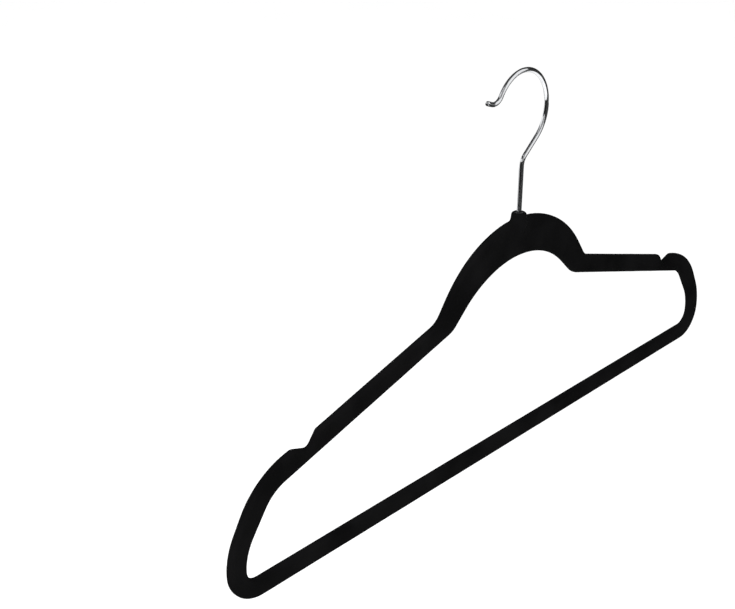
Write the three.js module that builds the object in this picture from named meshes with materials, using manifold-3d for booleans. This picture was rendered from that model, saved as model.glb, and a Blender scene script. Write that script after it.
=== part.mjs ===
// A slim flocked clothes hanger with a swivel hook, in millimetres.
// +X runs along the hanger, +Z is up, and the front face looks along -Y.
// The origin is the rail seat: the underside of the top of the hook, where a rail carries it.
// Heights below are measured from the lower edge of the trouser bar, and the group shifts them.
import * as THREE from "three";
import { mergeVertices } from "three/addons/utils/BufferGeometryUtils.js";
import Module from "manifold-3d";

const wasm = await Module();
wasm.setup();

// Whole hanger
const LENGTH = 450;
const THICKNESS = 5;
const HALF_LENGTH = LENGTH / 2;
const EDGE_RADIUS = 1.9;

// Arms, which slope at one angle above and below
const ARM_SLOPE = 0.2965;
const ARM_TOP_AT_CENTRE = 127;
const ARM_BOTTOM_AT_CENTRE = 114.7;

// Neck: a dome between the arms, with an arch under it
const DOME_TOP = 149.3;
const DOME_RADIUS = 76;
const DOME_CORNER_X = 39.3;
const DOME_FOOT_X = 69.8;
const ARCH_TOP = 126.2;
const ARCH_RADIUS = 70;
const ARCH_CORNER_X = 27.8;
const ARCH_FOOT_X = 58.5;

// Trouser bar and the ends that join it to the shoulders
const BAR_HEIGHT = 10.8;
const END_DEPTH = 11.1;
const INNER_HALF_LENGTH = HALF_LENGTH - END_DEPTH;
const SHOULDER = [204.4, 67.8];
const SHOULDER_FOOT = 31.6;
const INNER_SHOULDER_X = 194.9;
const INNER_SHOULDER_FOOT = 29.3;

// Strap notch in each shoulder
const NOTCH_EDGE_X = 162.5;
const NOTCH_FLOOR = [168.8, 70.6];
const NOTCH_CREST = [180, 74.4];

// Boss at the neck, its blind bore, and the bush pressed into it
const BOSS_RADIUS = 4.5;
const BOSS_TOP = 152.8;
const BOSS_EDGE = 1.6;
const BOSS_STRAIGHT_FROM = 147;
const BOSS_FADE = 6.5;
const BORE_RADIUS = 2.75;
const BORE_FLOOR = 145.4;
const BUSH_OUTER_RADIUS = 2.6;
const BUSH_INNER_RADIUS = 1.55;
const BUSH_FROM = 147.8;
const BUSH_TO = 152.5;
const BUSH_LEAD_IN = 0.3;

// Pile coating: it covers the core all over, with a small gap under it
const FLOCK_DEPTH = 0.5;
const FLOCK_GAP = 0.1;
const CORE_INSET = FLOCK_DEPTH + FLOCK_GAP;

// Hook, bent from round wire in the plane of the hanger
const WIRE_RADIUS = 1.4;
const LOOP_CENTRE = 212.1;
const LOOP_SIDE = 20.5; // how far the loop's centreline reaches past the stem
const LOOP_RADIUS = 22.7;
const LOWER_RADIUS = 23.4; // between the loop's side and the straight lean
const HOOK_LEAN = THREE.MathUtils.degToRad(49);
const BEND_RADIUS = 7.8;
const LOOP_END = THREE.MathUtils.degToRad(149);
const FLARE_RADIUS = 6.5;
const FLARE_TURN = THREE.MathUtils.degToRad(77);
const TIP_LENGTH = 3.7;
const HEAD_RADIUS = 2.3;
const HEAD_FROM = 145.8;
const HEAD_TO = 147.5;
const HEAD_CHAMFER = 0.4;

// The underside of the loop where it crosses the stem's axis
const SEAT_HEIGHT =
  LOOP_CENTRE + Math.sqrt((LOOP_RADIUS - WIRE_RADIUS) ** 2 - (LOOP_RADIUS - LOOP_SIDE) ** 2);

// Fineness of the round stretches, and how near two corners have to be to count as one
const ARC_STEP = THREE.MathUtils.degToRad(7.5);
const SKIN_EDGE_STEPS = 3;
const HIDDEN_EDGE_STEPS = 1;
const BOSS_SIDES = 24;
const FADE_STEPS = 6;
const BUSH_SIDES = 20;
const WIRE_SIDES = 12; // even, as a circle is drawn in two halves
const WIRE_STEPS = 72;
const WELD_DISTANCE = 1e-4;

const armTop = (x) => ARM_TOP_AT_CENTRE - ARM_SLOPE * x;
const armBottom = (x) => ARM_BOTTOM_AT_CENTRE - ARM_SLOPE * x;

// Right half of the outline, from the neck to the bar: [x, height, corner radius].
const OUTER_CORNERS = [
  [DOME_CORNER_X, DOME_TOP, DOME_RADIUS],
  [DOME_FOOT_X, armTop(DOME_FOOT_X), 13],
  [NOTCH_EDGE_X, armTop(NOTCH_EDGE_X), 3.5],
  [...NOTCH_FLOOR, 3.5],
  [...NOTCH_CREST, 6],
  [...SHOULDER, 48],
  [HALF_LENGTH, SHOULDER_FOOT, 43],
  [HALF_LENGTH, 0, 20],
];

// Right half of the opening between the arms and the bar.
const INNER_CORNERS = [
  [ARCH_CORNER_X, ARCH_TOP, ARCH_RADIUS],
  [ARCH_FOOT_X, armBottom(ARCH_FOOT_X), 15],
  [INNER_SHOULDER_X, armBottom(INNER_SHOULDER_X), 24],
  [INNER_HALF_LENGTH, INNER_SHOULDER_FOOT, 31],
  [INNER_HALF_LENGTH, BAR_HEIGHT, 8.5],
];

// A closed outline with its corners rounded into arcs, and drawn in by `shift`.
// The corners of the right half are mirrored to make the left half. It runs anticlockwise.
function roundedOutline(half, shift) {
  const mirrored = half.map(([x, z, r]) => [-x, z, r]).reverse();
  const corners = [...half, ...mirrored].map(([x, z, r]) => ({
    at: new THREE.Vector2(x, z),
    radius: r,
  }));
  const points = [];
  corners.forEach(({ at, radius }, i) => {
    const before = corners.at(i - 1).at;
    const after = corners[(i + 1) % corners.length].at;
    const arriving = at.clone().sub(before).normalize();
    const leaving = after.clone().sub(at).normalize();
    const turn = Math.atan2(arriving.cross(leaving), arriving.dot(leaving));
    const side = Math.sign(turn);
    const toCentre = new THREE.Vector2(-arriving.y, arriving.x).multiplyScalar(side * radius);
    const centre = at.clone().addScaledVector(arriving, -radius * Math.tan(Math.abs(turn) / 2));
    centre.add(toCentre);
    const steps = Math.max(2, Math.ceil(Math.abs(turn) / ARC_STEP));
    const from = Math.atan2(-toCentre.y, -toCentre.x);
    for (let k = 0; k <= steps; k++) {
      const angle = from + (turn * k) / steps;
      const reach = radius + side * shift;
      points.push(
        new THREE.Vector2(centre.x + reach * Math.cos(angle), centre.y + reach * Math.sin(angle)),
      );
    }
  });
  return points.reverse();
}

// The geometry as a solid that can be joined and cut.
function solid(geometry) {
  const bare = geometry.clone();
  bare.deleteAttribute("normal");
  bare.deleteAttribute("uv");
  const merged = mergeVertices(bare, WELD_DISTANCE);
  return new wasm.Manifold(
    new wasm.Mesh({
      numProp: 3,
      vertProperties: merged.attributes.position.array,
      triVerts: new Uint32Array(merged.index.array),
    }),
  );
}

function geometryOf(made) {
  const { vertProperties, triVerts } = made.getMesh();
  const geometry = new THREE.BufferGeometry();
  geometry.setAttribute("position", new THREE.BufferAttribute(vertProperties, 3));
  geometry.setIndex(new THREE.BufferAttribute(triVerts, 1));
  const flat = geometry.toNonIndexed();
  flat.computeVertexNormals();
  return flat;
}

// A profile of [radius, height] turned about the stem's axis. It starts and ends on the axis.
function turned(profile, sides) {
  const points = profile.map(([r, z]) => new THREE.Vector2(r, z));
  return new THREE.LatheGeometry(points, sides).rotateX(Math.PI / 2);
}

// The flat body of the hanger, with every edge rounded, lying `inset` inside the pile's surface.
function plate(inset, edgeSteps) {
  const face = new THREE.Shape(roundedOutline(OUTER_CORNERS, EDGE_RADIUS));
  face.holes.push(new THREE.Path(roundedOutline(INNER_CORNERS, -EDGE_RADIUS)));
  const depth = THICKNESS - 2 * EDGE_RADIUS;
  const geometry = new THREE.ExtrudeGeometry(face, {
    depth,
    bevelThickness: EDGE_RADIUS - inset,
    bevelSize: EDGE_RADIUS - inset,
    bevelSegments: edgeSteps,
  });
  return solid(geometry.translate(0, 0, -depth / 2).rotateX(Math.PI / 2));
}

// The round boss at the neck. Its lower end fades into the plate.
function boss(inset, edgeSteps) {
  const radius = BOSS_RADIUS - inset;
  const top = BOSS_TOP - inset;
  const edge = BOSS_EDGE - inset / 2;
  const fade = BOSS_FADE - inset;
  const profile = [[0, BOSS_STRAIGHT_FROM - fade]];
  for (let k = FADE_STEPS - 1; k >= 0; k--) {
    const t = ((Math.PI / 2) * k) / FADE_STEPS;
    profile.push([radius * Math.cos(t), BOSS_STRAIGHT_FROM - fade * Math.sin(t)]);
  }
  for (let k = 0; k <= edgeSteps; k++) {
    const t = ((Math.PI / 2) * k) / edgeSteps;
    profile.push([radius - edge * (1 - Math.cos(t)), top - edge * (1 - Math.sin(t))]);
  }
  profile.push([0, top]);
  return solid(turned(profile, BOSS_SIDES));
}

function body(inset, edgeSteps) {
  return plate(inset, edgeSteps).add(boss(inset, edgeSteps));
}

// The bore that takes the bush and the hook's head. It is open at the top of the boss.
function bore() {
  const above = BOSS_TOP + 1;
  return solid(
    turned(
      [
        [0, BORE_FLOOR],
        [BORE_RADIUS, BORE_FLOOR],
        [BORE_RADIUS, above],
        [0, above],
      ],
      BUSH_SIDES,
    ),
  );
}

// Moulded core, in one piece: arms, notches, ends, trouser bar and boss.
function hangerCore() {
  return body(CORE_INSET, HIDDEN_EDGE_STEPS).subtract(bore());
}

// Pile coating: a skin over the whole core, open only where the hook goes in.
function velvetFlock() {
  return body(0, SKIN_EDGE_STEPS)
    .subtract(body(FLOCK_DEPTH, HIDDEN_EDGE_STEPS))
    .subtract(bore());
}

// Sleeve in the bore: the hook turns in it, and it keeps the hook's head from pulling out.
function swivelBush() {
  return solid(
    turned(
      [
        [BUSH_INNER_RADIUS, BUSH_FROM],
        [BUSH_OUTER_RADIUS - BUSH_LEAD_IN, BUSH_FROM],
        [BUSH_OUTER_RADIUS, BUSH_FROM + BUSH_LEAD_IN],
        [BUSH_OUTER_RADIUS, BUSH_TO],
        [BUSH_INNER_RADIUS + BUSH_LEAD_IN, BUSH_TO],
        [BUSH_INNER_RADIUS, BUSH_TO - BUSH_LEAD_IN],
        [BUSH_INNER_RADIUS, BUSH_FROM],
      ],
      BUSH_SIDES,
    ),
  );
}

// Centreline of the hook: stem, bend, straight lean, two-radius loop, outward flare and tip.
class HookLine extends THREE.Curve {
  constructor() {
    super();
    const loopX = LOOP_SIDE - LOOP_RADIUS;
    const lowerX = LOOP_SIDE - LOWER_RADIUS;
    const joinX = lowerX + LOWER_RADIUS * Math.cos(HOOK_LEAN);
    const joinZ = LOOP_CENTRE - LOWER_RADIUS * Math.sin(HOOK_LEAN);
    const bendX = BEND_RADIUS * (1 - Math.cos(HOOK_LEAN));
    const bendZ = joinZ - (joinX - bendX) / Math.tan(HOOK_LEAN);
    const bendCentre = bendZ - BEND_RADIUS * Math.sin(HOOK_LEAN);
    const reach = LOOP_RADIUS + FLARE_RADIUS;
    const flareX = loopX + reach * Math.cos(LOOP_END);
    const flareZ = LOOP_CENTRE + reach * Math.sin(LOOP_END);
    const flareFrom = LOOP_END - Math.PI;
    const flareTo = flareFrom - FLARE_TURN;
    const heading = flareTo - Math.PI / 2;
    const path = new THREE.Path().moveTo(0, HEAD_TO - HEAD_CHAMFER);
    path.lineTo(0, bendCentre);
    path.absarc(BEND_RADIUS, bendCentre, BEND_RADIUS, Math.PI, Math.PI - HOOK_LEAN, true);
    path.absarc(lowerX, LOOP_CENTRE, LOWER_RADIUS, -HOOK_LEAN, 0, false);
    path.absarc(loopX, LOOP_CENTRE, LOOP_RADIUS, 0, LOOP_END, false);
    path.absarc(flareX, flareZ, FLARE_RADIUS, flareFrom, flareTo, true);
    const end = path.currentPoint;
    this.tip = new THREE.Vector2(
      end.x + TIP_LENGTH * Math.cos(heading),
      end.y + TIP_LENGTH * Math.sin(heading),
    );
    this.path = path.lineTo(this.tip.x, this.tip.y);
  }

  getPoint(t, target = new THREE.Vector3()) {
    const point = this.path.getPointAt(t);
    return target.set(point.x, 0, point.y);
  }
}

// Hook wire with its rounded tip, and the upset head at its foot.
function swivelHook() {
  const line = new HookLine();
  const section = new THREE.Shape().absarc(0, 0, WIRE_RADIUS, 0, 2 * Math.PI);
  const wire = new THREE.ExtrudeGeometry(section, {
    steps: WIRE_STEPS,
    curveSegments: WIRE_SIDES / 2,
    extrudePath: line,
  });
  const tip = new THREE.SphereGeometry(WIRE_RADIUS, WIRE_SIDES, WIRE_SIDES / 2);
  tip.translate(line.tip.x, 0, line.tip.y);
  const head = turned(
    [
      [0, HEAD_FROM],
      [HEAD_RADIUS - HEAD_CHAMFER, HEAD_FROM],
      [HEAD_RADIUS, HEAD_FROM + HEAD_CHAMFER],
      [HEAD_RADIUS, HEAD_TO - HEAD_CHAMFER],
      [HEAD_RADIUS - HEAD_CHAMFER, HEAD_TO],
      [0, HEAD_TO],
    ],
    BUSH_SIDES,
  );
  return solid(wire).add(solid(tip)).add(solid(head));
}

const MATERIALS = {
  abs: new THREE.MeshStandardMaterial({ color: 0x1b1b1d, roughness: 0.45 }),
  pile: new THREE.MeshStandardMaterial({ color: 0x0c0c0d, roughness: 1 }),
  chrome: new THREE.MeshStandardMaterial({ color: 0xd6d8da, roughness: 0.12, metalness: 1 }),
  nylon: new THREE.MeshStandardMaterial({ color: 0x232325, roughness: 0.6 }),
};

function part(name, made, material) {
  const mesh = new THREE.Mesh(geometryOf(made), material);
  mesh.name = name;
  return mesh;
}

const hanger = new THREE.Group();
hanger.add(
  part("hanger_core", hangerCore(), MATERIALS.abs),
  part("velvet_flock", velvetFlock(), MATERIALS.pile),
  part("swivel_bush", swivelBush(), MATERIALS.nylon),
  part("swivel_hook", swivelHook(), MATERIALS.chrome),
);
hanger.position.z = -SEAT_HEIGHT;

export default hanger;
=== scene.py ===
"""A slim velvet-flocked clothes hanger with a chromed swivel hook.

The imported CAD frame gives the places, the bodies and the joint. This script adds the looks: the
pile's fine surface, the round wire, the bush, the materials, and a plain pale studio. Blender
works in metres. The shape constants are in millimetres, with heights above the lower edge of
the trouser bar, as on the drawing of the hanger.
"""

import math

import bmesh
import bpy
import numpy as np
from mathutils import Matrix, Vector, noise


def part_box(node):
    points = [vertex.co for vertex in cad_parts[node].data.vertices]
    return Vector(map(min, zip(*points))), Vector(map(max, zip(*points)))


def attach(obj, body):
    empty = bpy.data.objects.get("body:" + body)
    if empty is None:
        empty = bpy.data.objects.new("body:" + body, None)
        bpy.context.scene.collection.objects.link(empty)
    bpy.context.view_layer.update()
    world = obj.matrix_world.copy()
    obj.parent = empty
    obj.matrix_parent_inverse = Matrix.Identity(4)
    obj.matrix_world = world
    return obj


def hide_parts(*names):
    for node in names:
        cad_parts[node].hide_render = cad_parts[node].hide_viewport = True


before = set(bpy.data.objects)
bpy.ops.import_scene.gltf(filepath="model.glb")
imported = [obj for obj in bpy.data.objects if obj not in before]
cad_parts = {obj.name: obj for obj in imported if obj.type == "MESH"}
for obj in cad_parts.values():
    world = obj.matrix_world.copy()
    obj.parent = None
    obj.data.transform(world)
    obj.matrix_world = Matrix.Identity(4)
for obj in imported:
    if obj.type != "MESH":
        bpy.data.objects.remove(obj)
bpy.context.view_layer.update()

MM = 0.001  # metres
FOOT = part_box("velvet_flock")[0].z  # the lower edge of the bar, in metres

# Whole hanger
LENGTH = 450
THICKNESS = 5
HALF_LENGTH = LENGTH / 2
EDGE_RADIUS = 1.9

# Arms, which slope at one angle above and below
ARM_SLOPE = 0.2965
ARM_TOP_AT_CENTRE = 127
ARM_BOTTOM_AT_CENTRE = 114.7

# Neck: a dome between the arms, with an arch under it
DOME_TOP = 149.3
DOME_RADIUS = 76
DOME_CORNER_X = 39.3
DOME_FOOT_X = 69.8
ARCH_TOP = 126.2
ARCH_RADIUS = 70
ARCH_CORNER_X = 27.8
ARCH_FOOT_X = 58.5

# Trouser bar and the ends that join it to the shoulders
BAR_HEIGHT = 10.8
END_DEPTH = 11.1
INNER_HALF_LENGTH = HALF_LENGTH - END_DEPTH
SHOULDER = (204.4, 67.8)
SHOULDER_FOOT = 31.6
INNER_SHOULDER_X = 194.9
INNER_SHOULDER_FOOT = 29.3

# Strap notch in each shoulder
NOTCH_EDGE_X = 162.5
NOTCH_FLOOR = (168.8, 70.6)
NOTCH_CREST = (180, 74.4)

# Boss at the neck, its bore, and the bush in it
BOSS_RADIUS = 4.5
BOSS_TOP = 152.8
BOSS_EDGE = 1.6
BOSS_STRAIGHT_FROM = 147
BOSS_FADE = 6.5
BOSS_BLEND = 3
BORE_RADIUS = 2.75
BORE_FLOOR = 145.4
BUSH_OUTER_RADIUS = 2.6
BUSH_INNER_RADIUS = 1.55
BUSH_FROM = 147.8
BUSH_TO = 152.5
BUSH_LIP = 0.3

# Hook, bent from round wire
WIRE_RADIUS = 1.4
LOOP_CENTRE = 212.1
LOOP_SIDE = 20.5
LOOP_RADIUS = 22.7
LOWER_RADIUS = 23.4
HOOK_LEAN = math.radians(49)
BEND_RADIUS = 7.8
LOOP_END = math.radians(149)
FLARE_RADIUS = 6.5
FLARE_TURN = math.radians(77)
TIP_LENGTH = 3.7
HEAD_RADIUS = 2.3
HEAD_FROM = 145.8
HEAD_TO = 147.5
HEAD_CHAMFER = 0.4

# Fineness of the meshes
ARC_STEP = math.radians(2.5)
PILE_GRID = 0.8
WIRE_SIDES = 48
WIRE_STEP = 0.9
WIRE_TURN_STEP = math.radians(3)
TIP_ANGLES = range(10, 90, 10)  # degrees, from the wire's side to near the middle of its end
BUSH_SIDES = 72
BUSH_LIP_POINTS = 5

# Cutting the pile: slack over the core, how far the bore's cutter stands out of the boss,
# and the longest edge that is taken for a sliver
CORE_CLEARANCE = 0.05
BORE_OVERRUN = 1
SLIVER = 1e-3

# Pile relief: clumps of fibre, and the broad rise and fall of the coat
CLUMP_SIZE, CLUMP_HEIGHT = 1.1, 0.03
COAT_SIZE, COAT_HEIGHT = 17, 0.05


def arm_top(x):
    """Height of the arms' upper edge."""
    return ARM_TOP_AT_CENTRE - ARM_SLOPE * x


def arm_bottom(x):
    """Height of the arms' lower edge."""
    return ARM_BOTTOM_AT_CENTRE - ARM_SLOPE * x


# Right half of the outline, from the neck to the bar: (x, height, corner radius)
OUTER_CORNERS = [
    (DOME_CORNER_X, DOME_TOP, DOME_RADIUS),
    (DOME_FOOT_X, arm_top(DOME_FOOT_X), 13),
    (NOTCH_EDGE_X, arm_top(NOTCH_EDGE_X), 3.5),
    (*NOTCH_FLOOR, 3.5),
    (*NOTCH_CREST, 6),
    (*SHOULDER, 48),
    (HALF_LENGTH, SHOULDER_FOOT, 43),
    (HALF_LENGTH, 0, 20),
]

# Right half of the opening between the arms and the bar
INNER_CORNERS = [
    (ARCH_CORNER_X, ARCH_TOP, ARCH_RADIUS),
    (ARCH_FOOT_X, arm_bottom(ARCH_FOOT_X), 15),
    (INNER_SHOULDER_X, arm_bottom(INNER_SHOULDER_X), 24),
    (INNER_HALF_LENGTH, INNER_SHOULDER_FOOT, 31),
    (INNER_HALF_LENGTH, BAR_HEIGHT, 8.5),
]


# ---------------------------------------------------------------- mesh helpers


def mesh_object(name, points, faces):
    """An object whose mesh has these points, in millimetres from the bar's lower edge."""
    points = np.asarray(points, float) * MM
    points[:, 2] += FOOT
    mesh = bpy.data.meshes.new(name)
    mesh.from_pydata(points.tolist(), [], [tuple(f) for f in faces])
    mesh.update()
    made = bpy.data.objects.new(name, mesh)
    bpy.context.scene.collection.objects.link(made)
    return made


def shade_smooth(piece):
    """Shades the faces as one smooth surface."""
    piece.data.polygons.foreach_set("use_smooth", [True] * len(piece.data.polygons))


def apply_modifiers(piece):
    """Replaces a piece's mesh with what its modifiers make of it."""
    graph = bpy.context.evaluated_depsgraph_get()
    mesh = bpy.data.meshes.new_from_object(piece.evaluated_get(graph), depsgraph=graph)
    piece.modifiers.clear()
    piece.data = mesh


def turned(name, profile, sides):
    """A closed ring: the profile of (radius, height) points turned about the stem's axis."""
    points, faces = [], []
    for i in range(sides):
        angle = 2 * math.pi * i / sides
        points += [(r * math.cos(angle), r * math.sin(angle), z) for r, z in profile]
        here, there = i * len(profile), (i + 1) % sides * len(profile)
        for k in range(len(profile)):
            after = (k + 1) % len(profile)
            faces.append((here + k, there + k, there + after, here + after))
    return mesh_object(name, points, faces)


# ---------------------------------------------------------------- velvet body


def rounded_outline(half):
    """A closed outline, mirrored from its right half, with its corners rounded into arcs."""
    corners = [*half, *[(-x, z, r) for x, z, r in reversed(half)]]
    points = []
    for i, (x, z, radius) in enumerate(corners):
        at = Vector((x, z))
        arriving = (at - Vector(corners[i - 1][:2])).normalized()
        leaving = (Vector(corners[(i + 1) % len(corners)][:2]) - at).normalized()
        turn = math.atan2(arriving.cross(leaving), arriving.dot(leaving))
        to_centre = Vector((-arriving.y, arriving.x)) * math.copysign(radius, turn)
        centre = at - arriving * radius * math.tan(abs(turn) / 2) + to_centre
        first = math.atan2(-to_centre.y, -to_centre.x)
        steps = max(2, math.ceil(abs(turn) / ARC_STEP))
        for k in range(steps + 1):
            angle = first + turn * k / steps
            points.append(centre + radius * Vector((math.cos(angle), math.sin(angle))))
    return np.array(points)


def edge_distance(x, z, loops):
    """Distance to the nearest outline, negative inside the material."""
    nearest = np.full(x.shape, np.inf)
    within = np.zeros(x.shape, bool)
    for loop in loops:
        for (ax, az), (bx, bz) in zip(loop, np.roll(loop, -1, axis=0)):
            dx, dz = bx - ax, bz - az
            along = np.clip(((x - ax) * dx + (z - az) * dz) / (dx * dx + dz * dz), 0, 1)
            away = (x - ax - along * dx) ** 2 + (z - az - along * dz) ** 2
            nearest = np.minimum(nearest, away)
            if az != bz:
                within ^= ((az > z) != (bz > z)) & (x < ax + (z - az) * dx / dz)
    return np.where(within, -1, 1) * np.sqrt(nearest)


def rounded_box(across, up, radius):
    """Distance to a right-angled corner with a round edge, from the distances to its two faces."""
    a, b = across + radius, up + radius
    return np.hypot(np.maximum(a, 0), np.maximum(b, 0)) + np.minimum(np.maximum(a, b), 0) - radius


def smooth_union(a, b, width):
    """The nearer of two distances, with a soft fillet where the two surfaces meet."""
    h = np.clip(0.5 + 0.5 * (b - a) / width, 0, 1)
    return b + (a - b) * h - width * h * (1 - h)


def body_field(x, y, z):
    """Distance to the hanger's surface: the flat body with its round edges, and the boss."""
    loops = [rounded_outline(OUTER_CORNERS), rounded_outline(INNER_CORNERS)]
    edge = edge_distance(*np.meshgrid(x, z, indexing="ij"), loops)
    x, y, z = np.meshgrid(x, y, z, indexing="ij")
    plate = rounded_box(edge[:, None, :], np.abs(y) - THICKNESS / 2, EDGE_RADIUS)
    out = np.hypot(x, y)
    straight = rounded_box(out - BOSS_RADIUS, z - BOSS_TOP, BOSS_EDGE)
    below = np.hypot(out / BOSS_RADIUS, (z - BOSS_STRAIGHT_FROM) / BOSS_FADE)
    fading = (below - 1) * BOSS_RADIUS
    boss = np.where(z > BOSS_STRAIGHT_FROM, straight, fading)
    return smooth_union(plate, boss, BOSS_BLEND)


def level_surface(field, low, step):
    """Points and quads of a grid's zero level, with one point in each cell that it crosses."""
    cells = tuple(n - 1 for n in field.shape)
    total, count = np.zeros((*cells, 3)), np.zeros(cells)

    def corner(offset):
        """The field at one corner of every cell."""
        return field[tuple(slice(o, o + n) for o, n in zip(offset, cells))]

    for axis in range(3):
        for side in ((0, 0), (0, 1), (1, 0), (1, 1)):
            start = np.insert(side, axis, 0)
            near, far = corner(start), corner(np.insert(side, axis, 1))
            crossed = (near < 0) != (far < 0)
            share = np.where(crossed, near / np.where(crossed, near - far, 1), 0)
            for k in range(3):
                total[..., k] += share if k == axis else crossed * start[k]
            count += crossed
    used = count > 0
    number = np.cumsum(used).reshape(cells) - 1
    points = low + step * (np.argwhere(used) + total[used] / count[used][:, None])

    faces = []
    inside = field < 0
    for axis in range(3):
        order = (axis, (axis + 1) % 3, (axis + 2) % 3)
        solid, index = inside.transpose(order), number.transpose(order)
        near, far = solid[:-1, 1:-1, 1:-1], solid[1:, 1:-1, 1:-1]
        around = (index[:, :-1, :-1], index[:, 1:, :-1], index[:, 1:, 1:], index[:, :-1, 1:])
        quads = np.stack(around, axis=-1)
        faces.append(quads[near & ~far])
        faces.append(quads[far & ~near][:, ::-1])
    return points, np.concatenate(faces)


def pile_relief(piece):
    """Raises and lowers the pile a little along its normals, in clumps and in broad waves."""
    for vertex, normal in zip(piece.data.vertices, piece.data.vertex_normals):
        at = vertex.co / MM
        clump = noise.noise(at / CLUMP_SIZE) * CLUMP_HEIGHT
        coat = noise.noise(at / COAT_SIZE) * COAT_HEIGHT
        vertex.co += Vector(normal.vector) * (clump + coat) * MM


def cut(piece, cutter):
    """Cuts one closed mesh out of another, and removes the cutter."""
    boolean = piece.modifiers.new("cut", "BOOLEAN")
    boolean.operation = "DIFFERENCE"
    boolean.solver = "MANIFOLD"
    boolean.object = cutter
    apply_modifiers(piece)
    bpy.data.objects.remove(cutter)


def mend(piece):
    """Closes up the slivers that the cuts leave."""
    mesh = bmesh.new()
    mesh.from_mesh(piece.data)
    bmesh.ops.dissolve_degenerate(mesh, dist=SLIVER * MM, edges=mesh.edges)
    mesh.to_mesh(piece.data)
    mesh.free()


def core_cutter():
    """The core's shape, grown by a hair, so that the pile is a skin over the core."""
    grown = bpy.data.objects.new("core_cutter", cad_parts["hanger_core"].data.copy())
    bpy.context.scene.collection.objects.link(grown)
    mesh = bmesh.new()
    mesh.from_mesh(grown.data)
    bmesh.ops.remove_doubles(mesh, verts=mesh.verts, dist=SLIVER * MM)
    mesh.normal_update()
    for vertex in mesh.verts:
        vertex.co += vertex.normal * CORE_CLEARANCE * MM
    mesh.to_mesh(grown.data)
    mesh.free()
    return grown


def bore_cutter():
    """A round bar that opens the pile at the bore."""
    mesh = bmesh.new()
    depth = BOSS_TOP + BORE_OVERRUN - BORE_FLOOR
    middle = Matrix.Translation((0, 0, FOOT + (BORE_FLOOR + depth / 2) * MM))
    bmesh.ops.create_cone(
        mesh,
        cap_ends=True,
        segments=BUSH_SIDES,
        radius1=BORE_RADIUS * MM,
        radius2=BORE_RADIUS * MM,
        depth=depth * MM,
        matrix=middle,
    )
    made = bpy.data.objects.new("bore_cutter", bpy.data.meshes.new("bore_cutter"))
    mesh.to_mesh(made.data)
    mesh.free()
    bpy.context.scene.collection.objects.link(made)
    return made


def velvet_body():
    """The pile coat: a closed skin with a fine, slightly uneven surface, open at the bore."""
    margin = 2 * PILE_GRID
    low = np.array([-HALF_LENGTH, -BOSS_RADIUS, 0]) - margin
    high = np.array([HALF_LENGTH, BOSS_RADIUS, BOSS_TOP]) + margin
    axes = [np.arange(a, b, PILE_GRID) for a, b in zip(low, high)]
    points, faces = level_surface(body_field(*axes), low, PILE_GRID)
    piece = mesh_object("velvet_body", points, faces)
    pile_relief(piece)
    cut(piece, core_cutter())
    cut(piece, bore_cutter())
    mend(piece)
    shade_smooth(piece)
    return piece


# ---------------------------------------------------------------- hook and bush


def heading_vector(angle):
    """Unit vector on the drawing at this angle from +X."""
    return Vector((math.cos(angle), math.sin(angle)))


def hook_stations():
    """(x, height, heading, radius, distance) of each ring of the hook, from its head to its tip."""
    loop_x = LOOP_SIDE - LOOP_RADIUS
    lower_x = LOOP_SIDE - LOWER_RADIUS
    join = Vector((lower_x, LOOP_CENTRE)) + LOWER_RADIUS * heading_vector(-HOOK_LEAN)
    bend_x = BEND_RADIUS * (1 - math.cos(HOOK_LEAN))
    bend_z = join.y - (join.x - bend_x) / math.tan(HOOK_LEAN)
    bend_centre = bend_z - BEND_RADIUS * math.sin(HOOK_LEAN)
    flare_centre = Vector((loop_x, LOOP_CENTRE))
    flare_centre += (LOOP_RADIUS + FLARE_RADIUS) * heading_vector(LOOP_END)
    flare_from = LOOP_END - math.pi
    stations = []
    place, heading, gone = Vector((0, HEAD_TO)), math.pi / 2, 0.0

    def straight(length):
        """Adds rings along the present heading."""
        nonlocal place, gone
        steps = max(1, round(length / WIRE_STEP))
        for _ in range(steps):
            place = place + heading_vector(heading) * length / steps
            gone += length / steps
            stations.append((*place, heading, WIRE_RADIUS, gone))

    def arc(centre, radius, first, last):
        """Adds rings round a bend, between two angles about its centre."""
        nonlocal place, heading, gone
        turn = last - first
        steps = math.ceil(max(abs(turn) / WIRE_TURN_STEP, abs(turn) * radius / WIRE_STEP))
        for k in range(1, steps + 1):
            angle = first + turn * k / steps
            place = Vector(centre) + radius * heading_vector(angle)
            heading = angle + math.copysign(math.pi / 2, turn)
            gone += abs(turn) * radius / steps
            stations.append((*place, heading, WIRE_RADIUS, gone))

    for radius, height in (
        (HEAD_RADIUS - HEAD_CHAMFER, HEAD_FROM),
        (HEAD_RADIUS, HEAD_FROM + HEAD_CHAMFER),
        (HEAD_RADIUS, HEAD_TO - HEAD_CHAMFER),
        (HEAD_RADIUS - HEAD_CHAMFER, HEAD_TO),
        (WIRE_RADIUS, HEAD_TO),
    ):
        stations.append((0, height, heading, radius, height - HEAD_TO))
    straight(bend_centre - HEAD_TO)
    arc((BEND_RADIUS, bend_centre), BEND_RADIUS, math.pi, math.pi - HOOK_LEAN)
    straight((join - place).length)
    arc((lower_x, LOOP_CENTRE), LOWER_RADIUS, -HOOK_LEAN, 0)
    arc((loop_x, LOOP_CENTRE), LOOP_RADIUS, 0, LOOP_END)
    arc(flare_centre, FLARE_RADIUS, flare_from, flare_from - FLARE_TURN)
    straight(TIP_LENGTH)
    for degrees in TIP_ANGLES:
        angle = math.radians(degrees)
        end = place + heading_vector(heading) * WIRE_RADIUS * math.sin(angle)
        reach = gone + WIRE_RADIUS * angle
        stations.append((*end, heading, WIRE_RADIUS * math.cos(angle), reach))
    return stations


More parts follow.
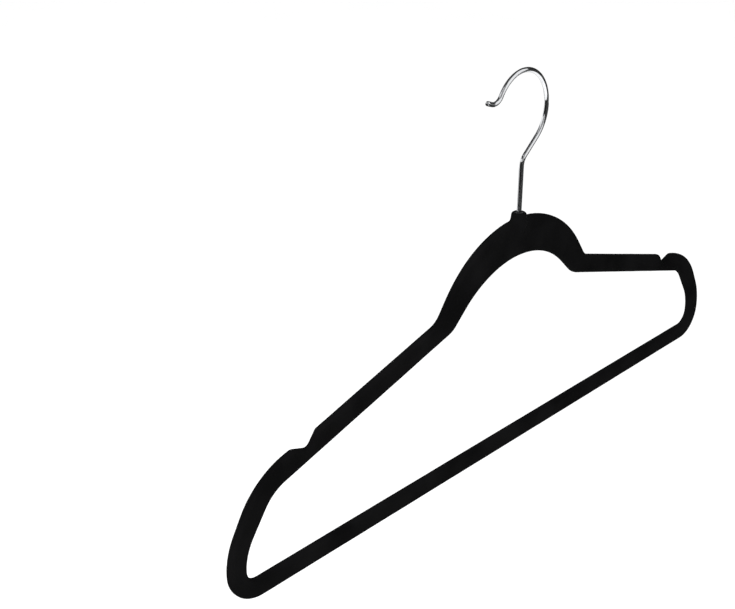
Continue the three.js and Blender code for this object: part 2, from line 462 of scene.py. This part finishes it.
def chrome_hook():
    """The wire as one round tube along its bends, with the upset head and the rounded tip."""
    stations = hook_stations()
    points, faces = [], []
    for x, z, heading, radius, _ in stations:
        for i in range(WIRE_SIDES):
            angle = 2 * math.pi * i / WIRE_SIDES
            side = radius * math.cos(angle)
            place = (x - side * math.sin(heading), radius * math.sin(angle))
            points.append((*place, z + side * math.cos(heading)))
    for ring in range(len(stations) - 1):
        for i in range(WIRE_SIDES):
            a, b = ring * WIRE_SIDES + i, ring * WIRE_SIDES + (i + 1) % WIRE_SIDES
            faces.append((a, a + WIRE_SIDES, b + WIRE_SIDES, b))
    last = (len(stations) - 1) * WIRE_SIDES
    faces.append(tuple(range(WIRE_SIDES)))
    faces.append(tuple(last + i for i in reversed(range(WIRE_SIDES))))
    piece = mesh_object("chrome_hook", points, faces)
    shade_smooth(piece)
    wrap_along(piece, [s[4] for s in stations])
    return piece


def wrap_along(piece, distances):
    """A UV map for the tube: U runs once round the wire, and V along it, in girths of it."""
    layer = piece.data.uv_layers.new(name="along_wire")
    for face in piece.data.polygons:
        corners = [piece.data.loops[i].vertex_index for i in face.loop_indices]
        seam = max(c % WIRE_SIDES for c in corners) == WIRE_SIDES - 1
        for loop, corner in zip(face.loop_indices, corners):
            ring, i = divmod(corner, WIRE_SIDES)
            if seam and i == 0 and len(corners) == 4:
                i = WIRE_SIDES
            layer.data[loop].uv = (i / WIRE_SIDES, distances[ring] / (2 * math.pi * WIRE_RADIUS))


def bush_sleeve():
    """The nylon sleeve that the hook turns in, with a rounded lip round the wire."""
    lip = [
        (math.cos(t) * BUSH_LIP, math.sin(t) * BUSH_LIP)
        for t in np.linspace(0, math.pi / 2, BUSH_LIP_POINTS)
    ]
    inner, outer = BUSH_INNER_RADIUS + BUSH_LIP, BUSH_OUTER_RADIUS - BUSH_LIP
    top, bottom = BUSH_TO - BUSH_LIP, BUSH_FROM + BUSH_LIP
    profile = [(outer + r, bottom - z) for r, z in reversed(lip)]
    profile += [(outer + r, top + z) for r, z in lip]
    profile += [(inner - r, top + z) for r, z in reversed(lip)]
    profile += [(inner - r, bottom - z) for r, z in lip]
    piece = turned("bush_sleeve", profile, BUSH_SIDES)
    shade_smooth(piece)
    return piece


# ---------------------------------------------------------------- materials


NOISE_RANGE = (0.3, 0.7)  # what a noise's values mostly lie between
MIX_FACTOR, MIX_A, MIX_B, MIX_RESULT = 0, 6, 7, 2  # a colour mix's sockets, by number
STAGE_CLOUD = 0.985  # how dark the cloud gets in a stage material


class Shader:
    """A material with one Principled shader, and short calls to add nodes to it."""

    def __init__(self, name, **sockets):
        self.material = bpy.data.materials.new(name)
        self.material.use_nodes = True
        self.tree = self.material.node_tree
        self.surface = self.tree.nodes["Principled BSDF"]
        for socket, value in sockets.items():
            self.surface.inputs[socket.replace("_", " ")].default_value = value
        self.place = self.node("ShaderNodeTexCoord").outputs["Object"]

    def node(self, kind, inputs=None, **settings):
        """A new node, with each input set to a value or linked to a socket."""
        made = self.tree.nodes.new(kind)
        for key, value in settings.items():
            setattr(made, key, value)
        for key, value in (inputs or {}).items():
            if isinstance(value, bpy.types.NodeSocket):
                self.tree.links.new(value, made.inputs[key])
            else:
                made.inputs[key].default_value = value
        return made

    def noise(self, size_mm, detail=3.0, roughness=0.5):
        """Noise whose features are about this size."""
        made = self.node(
            "ShaderNodeTexNoise",
            {
                "Vector": self.place,
                "Scale": 1 / (size_mm * MM),
                "Detail": detail,
                "Roughness": roughness,
            },
        )
        return made.outputs["Fac"]

    def spread(self, value, low, high):
        """Stretches the range that noise mostly covers to the range from low to high."""
        made = self.node(
            "ShaderNodeMapRange",
            {
                "Value": value,
                "From Min": NOISE_RANGE[0],
                "From Max": NOISE_RANGE[1],
                "To Min": low,
                "To Max": high,
            },
        )
        return made.outputs["Result"]

    def colours(self, value, *stops):
        """A colour ramp between two (position, colour) stops."""
        made = self.node("ShaderNodeValToRGB", {"Fac": value})
        for element, (position, colour) in zip(made.color_ramp.elements, stops):
            element.position = position
            element.color = (*colour, 1)
        return made.outputs["Color"]

    def bump(self, height, distance_mm, strength, under=None):
        """A bump for the shader's normal, on top of another where one is given."""
        inputs = {"Height": height, "Distance": distance_mm * MM, "Strength": strength}
        if under:
            inputs["Normal"] = under
        return self.node("ShaderNodeBump", inputs).outputs["Normal"]

    def mix(self, factor, a, b):
        """A mix of two colours."""
        inputs = {MIX_FACTOR: factor, MIX_A: a, MIX_B: b}
        return self.node("ShaderNodeMix", inputs, data_type="RGBA").outputs[MIX_RESULT]

    def join(self, **links):
        """Links these outputs to the shader's sockets, and gives the finished material."""
        for socket, value in links.items():
            self.tree.links.new(value, self.surface.inputs[socket.replace("_", " ")])
        return self.material


def velvet():
    """Near-black flock: a matt nap that lightens only at a low angle, brushed in soft patches."""
    look = Shader(
        "velvet_pile",
        Sheen_Weight=0.05,
        Sheen_Roughness=0.12,
        Sheen_Tint=(0.92, 0.95, 1, 1),
        Specular_IOR_Level=0.02,
    )
    patches = look.noise(26, detail=2)
    tips = look.noise(0.32, detail=4, roughness=0.7)
    clumps = look.noise(1.3)
    nap = look.colours(
        patches,
        (0.32, (0.0009, 0.0009, 0.0009)),
        (0.68, (0.0041, 0.0041, 0.0042)),
    )
    flecks = look.colours(
        tips,
        (0.35, (0.0012, 0.0012, 0.0013)),
        (0.75, (0.0066, 0.0066, 0.0070)),
    )
    coat = look.bump(clumps, 0.12, strength=0.35)
    return look.join(
        Base_Color=look.mix(0.4, nap, flecks),
        Roughness=look.spread(patches, 0.88, 1.0),
        Normal=look.bump(tips, 0.07, strength=0.6, under=coat),
    )


def chrome():
    """Bright chrome plate on drawn wire: faint drawing lines and a slightly uneven polish."""
    look = Shader("chromed_wire", Metallic=1.0)
    wrap = look.node("ShaderNodeUVMap", uv_map="along_wire").outputs[0]
    cloud = look.noise(6)
    lines = look.node(
        "ShaderNodeTexNoise",
        {
            "Vector": look.node(
                "ShaderNodeMapping", {"Vector": wrap, "Scale": (26, 0.8, 1)}
            ).outputs[0],
            "Scale": 1.0,
            "Detail": 4.0,
        },
    ).outputs["Fac"]
    plate = look.colours(
        cloud,
        (0.3, (0.68, 0.69, 0.71)),
        (0.7, (0.78, 0.79, 0.80)),
    )
    return look.join(
        Base_Color=plate,
        Roughness=look.spread(lines, 0.035, 0.11),
        Normal=look.bump(lines, 0.01, strength=0.25),
    )


def moulded_abs():
    """Black moulded ABS with a fine spark-eroded grain."""
    look = Shader("moulded_abs")
    grain = look.noise(0.25)
    cloud = look.noise(9)
    body = look.colours(cloud, (0.3, (0.010, 0.010, 0.011)), (0.7, (0.016, 0.016, 0.018)))
    return look.join(
        Base_Color=body,
        Roughness=look.spread(grain, 0.42, 0.58),
        Normal=look.bump(grain, 0.02, strength=0.5),
    )


def nylon():
    """Black nylon, turned smooth by the wire."""
    look = Shader("nylon")
    grain = look.noise(0.4)
    body = look.colours(grain, (0.3, (0.012, 0.012, 0.013)), (0.7, (0.022, 0.022, 0.024)))
    return look.join(
        Base_Color=body,
        Roughness=look.spread(grain, 0.4, 0.55),
        Normal=look.bump(grain, 0.015, strength=0.4),
    )


def plain(name, grey, roughness):
    """Stage material: a matt grey with the faintest cloud in it."""
    look = Shader(name, Specular_IOR_Level=0.1, Roughness=roughness)
    cloud = look.noise(400)
    dark, light = [grey * STAGE_CLOUD] * 3, [grey] * 3
    return look.join(Base_Color=look.colours(cloud, (0.3, dark), (0.7, light)))


def dress(piece, material):
    """Gives a piece this one material."""
    piece.data.materials.clear()
    piece.data.materials.append(material)


# ---------------------------------------------------------------- studio


# The photo's camera: distances in millimetres, and the point it looks at as on the drawing
CAMERA_AZIMUTH = math.radians(-45.98)
CAMERA_ELEVATION = math.radians(24.489)
CAMERA_ROLL = math.radians(-0.272)
CAMERA_DISTANCE = 595.56
LOOK_AT = (-125.13, 0, 135.94)
LENS = 57.42
SENSOR_WIDTH = 36
CLIP = (0.01, 100)  # metres

# The floor under the hanger, and the flags round the hook
FLOOR_BELOW = 350
FLOOR_SIZE = 60.0  # metres
FLAG_RADIUS = 700
FLAG_STEPS = 25


def direction(azimuth, elevation):
    """Unit vector from the object towards a camera at these angles."""
    flat = math.cos(elevation)
    return Vector((math.sin(azimuth) * flat, -math.cos(azimuth) * flat, math.sin(elevation)))


def in_frame(x, y, height):
    """A point on the drawing, in millimetres, as a point of the frame, in metres."""
    return Vector((x * MM, y * MM, FOOT + height * MM))


def camera():
    """The photo's camera, as solved from the hanger's outline."""
    data = bpy.data.cameras.new("camera")
    data.lens = LENS
    data.sensor_width = SENSOR_WIDTH
    data.clip_start, data.clip_end = CLIP
    made = bpy.data.objects.new("camera", data)
    bpy.context.scene.collection.objects.link(made)
    back = direction(CAMERA_AZIMUTH, CAMERA_ELEVATION)
    made.location = in_frame(*LOOK_AT) + back * CAMERA_DISTANCE * MM
    upright = (-back).to_track_quat("-Z", "Y").to_matrix()
    made.rotation_euler = (upright @ Matrix.Rotation(CAMERA_ROLL, 3, "Z")).to_euler()
    bpy.context.scene.camera = made


def floor():
    """A wide sheet of white paper, well below the hanger."""
    z = FOOT - FLOOR_BELOW * MM
    half = FLOOR_SIZE / 2
    mesh = bpy.data.meshes.new("floor")
    corners = [(-half, -half, z), (half, -half, z), (half, half, z), (-half, half, z)]
    mesh.from_pydata(corners, [], [(0, 1, 2, 3)])
    made = bpy.data.objects.new("floor", mesh)
    bpy.context.scene.collection.objects.link(made)
    dress(made, plain("floor_paper", 0.93, 0.9))


def flag(name, azimuths, lower, upper, shade):
    """A curved card round the hook that only the chrome mirrors, as a studio's black flag does.

    It runs between two azimuths, and its lower and upper edges have an elevation at each end.
    """
    centre = in_frame(0, 0, LOOP_CENTRE)
    around = np.linspace(*np.radians(azimuths), FLAG_STEPS)
    edges = [np.linspace(*np.radians(ends), FLAG_STEPS) for ends in (lower, upper)]
    points, faces = [], []
    for azimuth, *ends in zip(around, *edges):
        for elevation in ends:
            out = direction(azimuth, 0) * FLAG_RADIUS * MM
            lift = math.tan(elevation) * FLAG_RADIUS * MM
            points.append(centre + out + Vector((0, 0, lift)))
    for i in range(len(around) - 1):
        faces.append((2 * i, 2 * i + 2, 2 * i + 3, 2 * i + 1))
    card(name, points, faces, shade)


def card(name, points, faces, shade):
    """A stage card that neither the camera nor any matt surface sees."""
    mesh = bpy.data.meshes.new(name)
    mesh.from_pydata(points, [], faces)
    made = bpy.data.objects.new(name, mesh)
    bpy.context.scene.collection.objects.link(made)
    dress(made, plain(name, shade, 1.0))
    made.visible_camera = False
    made.visible_diffuse = False
    made.visible_shadow = False
    made.visible_transmission = False


def ceiling_flag(name, elevation, shade):
    """A round card over the hook, down to this elevation as the hook sees it."""
    lift = FLAG_RADIUS * math.tan(math.radians(elevation))
    angles = np.linspace(0, 2 * math.pi, 2 * FLAG_STEPS, endpoint=False)
    rim = [direction(a, 0) * FLAG_RADIUS * MM + in_frame(0, 0, LOOP_CENTRE + lift) for a in angles]
    card(name, rim, [tuple(range(len(rim)))], shade)


def tip_flag(reach, first, last, depths, shade):
    """A small curved card round the hook's tip, from beyond its end to under it.

    It is an arc of this reach about the tip's end, between two angles on the drawing, and runs
    from front to back between two depths.
    """
    end = Vector(hook_stations()[-1][:2])
    points, faces = [], []
    for i, angle in enumerate(np.linspace(math.radians(first), math.radians(last), FLAG_STEPS)):
        x, height = end + reach * heading_vector(angle)
        points += [in_frame(x, y, height) for y in depths]
        if i:
            faces.append((2 * i - 2, 2 * i, 2 * i + 1, 2 * i - 1))
    card("tip_flag", points, faces, shade)


def softbox(name, azimuth, elevation, distance, size, watts):
    """A square area light that faces the middle of the hanger."""
    data = bpy.data.lights.new(name, "AREA")
    data.shape = "SQUARE"
    data.size = size
    data.energy = watts
    made = bpy.data.objects.new(name, data)
    bpy.context.scene.collection.objects.link(made)
    away = direction(math.radians(azimuth), math.radians(elevation))
    made.location = in_frame(0, 0, DOME_TOP / 2) + away * distance
    made.rotation_euler = away.to_track_quat("Z", "Y").to_euler()
    made.visible_glossy = False  # the chrome mirrors only the surround and the flags


def sky(strength):
    """A plain white surround."""
    world = bpy.data.worlds.new("studio")
    bpy.context.scene.world = world
    world.use_nodes = True
    background = world.node_tree.nodes["Background"]
    background.inputs["Color"].default_value = (1, 1, 1, 1)
    background.inputs["Strength"].default_value = strength


# ---------------------------------------------------------------- the scene

camera()
floor()
sky(1.08)
softbox("key", azimuth=-58, elevation=36, distance=0.75, size=0.55, watts=7)
softbox("fill", azimuth=30, elevation=48, distance=2.2, size=1.6, watts=2)

# Each flag: azimuths, lower edge, upper edge, grey
flag("front_flag", (-142, -50), (-24.5, -25), (9, 13), 0.012)
flag("middle_flag", (-50, -10), (-25, -29), (13, 12), 0.035)
flag("side_flag", (-10, 53), (-29, -48), (12, -13), 0.035)
flag("right_flag", (52, 76), (-15, -12), (4, 50), 0.02)
flag("right_back_flag", (76, 134), (-12, 8), (64, 76), 0.025)
flag("near_right_flag", (53, 64), (-46, -46), (-15, -14), 0.05)
flag("low_right_flag", (64, 134), (-46, -46), (-14, -14), 0.16)
flag("back_flag", (134, 186), (20, 22), (76, 76), 0.012)
flag("left_back_flag", (186, 240), (14, 50), (76, 76), 0.03)
flag("low_back_flag", (134, 200), (-68, -68), (-20, -20), 0.36)
flag("high_front_flag", (-95, -12), (15, 15), (64, 64), 0.36)
ceiling_flag("ceiling_flag", 64, 0.10)
tip_flag(reach=12, first=160, last=330, depths=(-9, 60), shade=0.02)

body = velvet_body()
dress(body, velvet())
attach(body, "hanger")
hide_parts("velvet_flock")

hook = chrome_hook()
dress(hook, chrome())
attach(hook, "hook")
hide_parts("swivel_hook")

bush = bush_sleeve()
dress(bush, nylon())
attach(bush, "hanger")
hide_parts("swivel_bush")

dress(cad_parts["hanger_core"], moulded_abs())

bpy.context.scene.view_settings.view_transform = "Standard"
